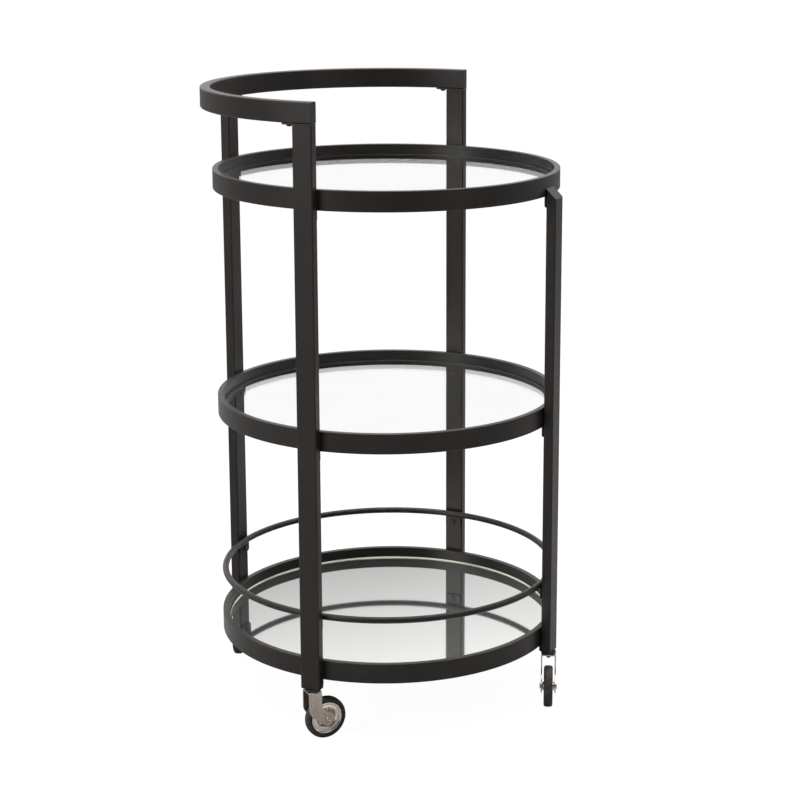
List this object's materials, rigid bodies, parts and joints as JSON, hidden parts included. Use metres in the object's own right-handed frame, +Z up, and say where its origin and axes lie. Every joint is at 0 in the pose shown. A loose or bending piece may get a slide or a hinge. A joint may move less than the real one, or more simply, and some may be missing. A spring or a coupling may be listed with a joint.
{
  "type": "bar cart",
  "caption": "Round three-tier bar cart with glass shelves, a gallery rail, a half-ring handle and swivel casters.",
  "frame": {"origin": "on the floor, on the cart's upright centre line", "axes": "+Z up; the short post is at the front, at -Y; the middle of the handle is at the back, at +Y; +X to the right seen from the front"},
  "size_m": [0.4702, 0.4761, 0.7759],
  "materials": {
    "bronze_paint": "satin dark bronze paint",
    "clear_glass": "clear tempered glass, faintly green at the edge",
    "mirror_glass": "silvered mirror",
    "black_screw": "black oxide",
    "nickel_steel": "satin nickel plate",
    "black_plastic": "matt",
    "black_rubber": "matt rubber"
  },
  "bodies": {
    "cart_frame": {"bottom_shelf_ring": "bronze_paint", "middle_shelf_ring": "bronze_paint", "top_shelf_ring": "bronze_paint", "bottom_mirror": "mirror_glass", "middle_glass": "clear_glass", "top_glass": "clear_glass", "gallery_rail": "bronze_paint", "handle": "bronze_paint", "right_post": "bronze_paint", "back_post": "bronze_paint", "left_post": "bronze_paint", "front_post": "bronze_paint", "right_tongue_plate": "bronze_paint", "back_tongue_plate": "bronze_paint", "left_tongue_plate": "bronze_paint", "bottom_shelf_screw_right": "black_screw", "bottom_shelf_screw_back": "black_screw", "bottom_shelf_screw_left": "black_screw", "bottom_shelf_screw_front": "black_screw", "middle_shelf_screw_right": "black_screw", "middle_shelf_screw_back": "black_screw", "middle_shelf_screw_left": "black_screw", "middle_shelf_screw_front": "black_screw", "top_shelf_screw_right": "black_screw", "top_shelf_screw_back": "black_screw", "top_shelf_screw_left": "black_screw", "top_shelf_screw_front": "black_screw", "rail_screw_right": "black_screw", "rail_screw_back": "black_screw", "rail_screw_left": "black_screw", "rail_screw_front": "black_screw", "handle_screw_right": "black_screw", "handle_screw_back": "black_screw", "handle_screw_left": "black_screw", "right_caster_socket": "black_plastic", "back_caster_socket": "black_plastic", "left_caster_socket": "black_plastic", "front_caster_socket": "black_plastic", "right_king_pin": "nickel_steel", "back_king_pin": "nickel_steel", "left_king_pin": "nickel_steel", "front_king_pin": "nickel_steel"},
    "right_caster_swivel": {"right_fork": "nickel_steel", "right_axle": "nickel_steel"},
    "right_caster_wheel": {"right_wheel_hub": "nickel_steel", "right_tyre": "black_rubber"},
    "back_caster_swivel": {"back_fork": "nickel_steel", "back_axle": "nickel_steel"},
    "back_caster_wheel": {"back_wheel_hub": "nickel_steel", "back_tyre": "black_rubber"},
    "left_caster_swivel": {"left_fork": "nickel_steel", "left_axle": "nickel_steel"},
    "left_caster_wheel": {"left_wheel_hub": "nickel_steel", "left_tyre": "black_rubber"},
    "front_caster_swivel": {"front_fork": "nickel_steel", "front_axle": "nickel_steel"},
    "front_caster_wheel": {"front_wheel_hub": "nickel_steel", "front_tyre": "black_rubber"}
  },
  "joints": [
    {"name": "right_swivel", "type": "hinge", "parent": "cart_frame", "child": "right_caster_swivel", "pos_m": [0.22255, 0, 0.0634], "axis": [0, 0, 1], "continuous": true},
    {"name": "right_wheel_roll", "type": "hinge", "parent": "right_caster_swivel", "child": "right_caster_wheel", "pos_m": [0.20926, 0.01027, 0.026], "axis": [0.6115, 0.7912, 0], "continuous": true},
    {"name": "back_swivel", "type": "hinge", "parent": "cart_frame", "child": "back_caster_swivel", "pos_m": [0, 0.22255, 0.0634], "axis": [0, 0, 1], "continuous": true},
    {"name": "back_wheel_roll", "type": "hinge", "parent": "back_caster_swivel", "child": "back_caster_wheel", "pos_m": [-0.0158, 0.21683, 0.026], "axis": [-0.3404, 0.9403, 0], "continuous": true},
    {"name": "left_swivel", "type": "hinge", "parent": "cart_frame", "child": "left_caster_swivel", "pos_m": [-0.22255, 0, 0.0634], "axis": [0, 0, 1], "continuous": true},
    {"name": "left_wheel_roll", "type": "hinge", "parent": "left_caster_swivel", "child": "left_caster_wheel", "pos_m": [-0.20926, -0.01027, 0.026], "axis": [-0.6115, -0.7912, 0], "continuous": true},
    {"name": "front_swivel", "type": "hinge", "parent": "cart_frame", "child": "front_caster_swivel", "pos_m": [0, -0.22255, 0.0634], "axis": [0, 0, 1], "continuous": true},
    {"name": "front_wheel_roll", "type": "hinge", "parent": "front_caster_swivel", "child": "front_caster_wheel", "pos_m": [-0.0158, -0.22827, 0.026], "axis": [-0.3404, 0.9403, 0], "continuous": true}
  ]
}
